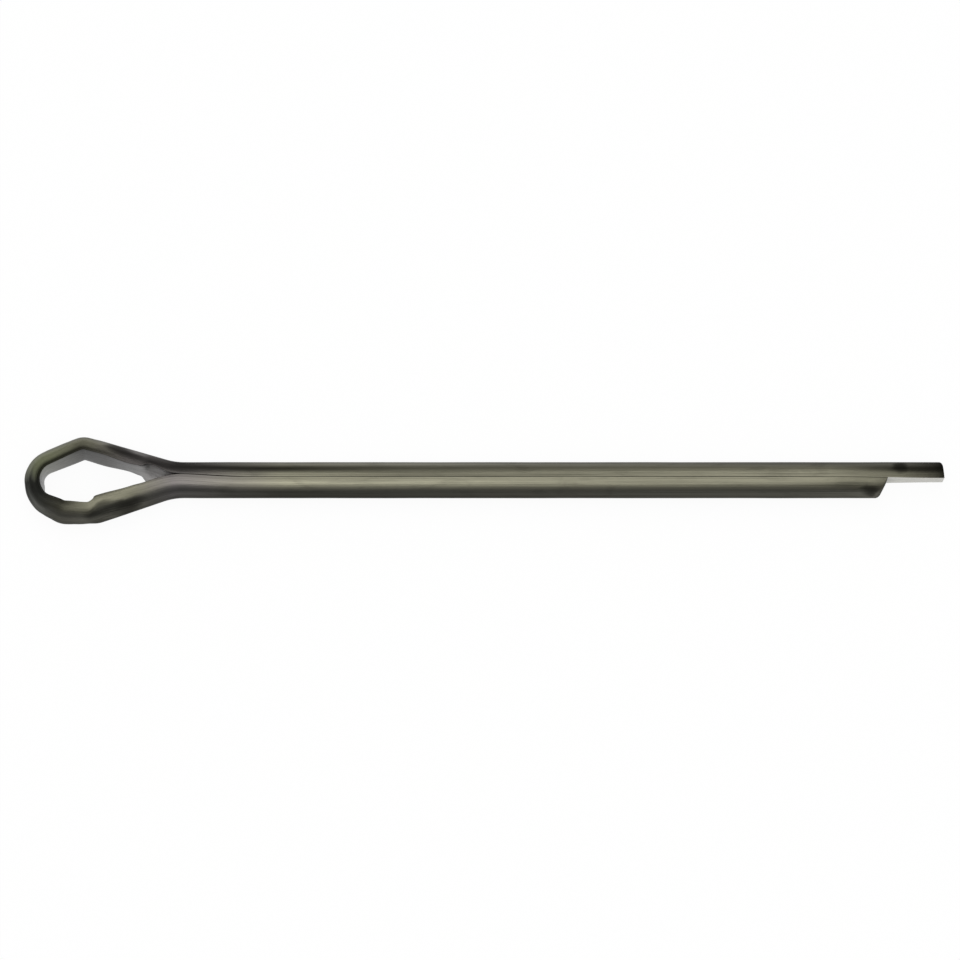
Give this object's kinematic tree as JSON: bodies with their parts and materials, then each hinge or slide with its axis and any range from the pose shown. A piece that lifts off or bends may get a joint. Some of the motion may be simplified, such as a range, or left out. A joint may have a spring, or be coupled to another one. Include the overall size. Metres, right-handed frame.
{
  "type": "cotter pin",
  "caption": "Split cotter pin of half-round steel wire, bent double into a round shank with an open eye and one longer tine.",
  "frame": {"origin": "on the shank's axis, where the straight round shank begins at the eye's neck", "axes": "+X along the shank from the eye to the tips, +Y towards the long tine, +Z square to the eye; the pin lies on its side"},
  "size_m": [0.1139, 0.011, 0.0044],
  "materials": {
    "steel": "drawn steel wire gone dull and dark, darkest round the eye and at the sheared ends, rubbed lighter along the shank"
  },
  "bodies": {
    "root": {"cotter_pin": "steel"}
  },
  "joints": []
}
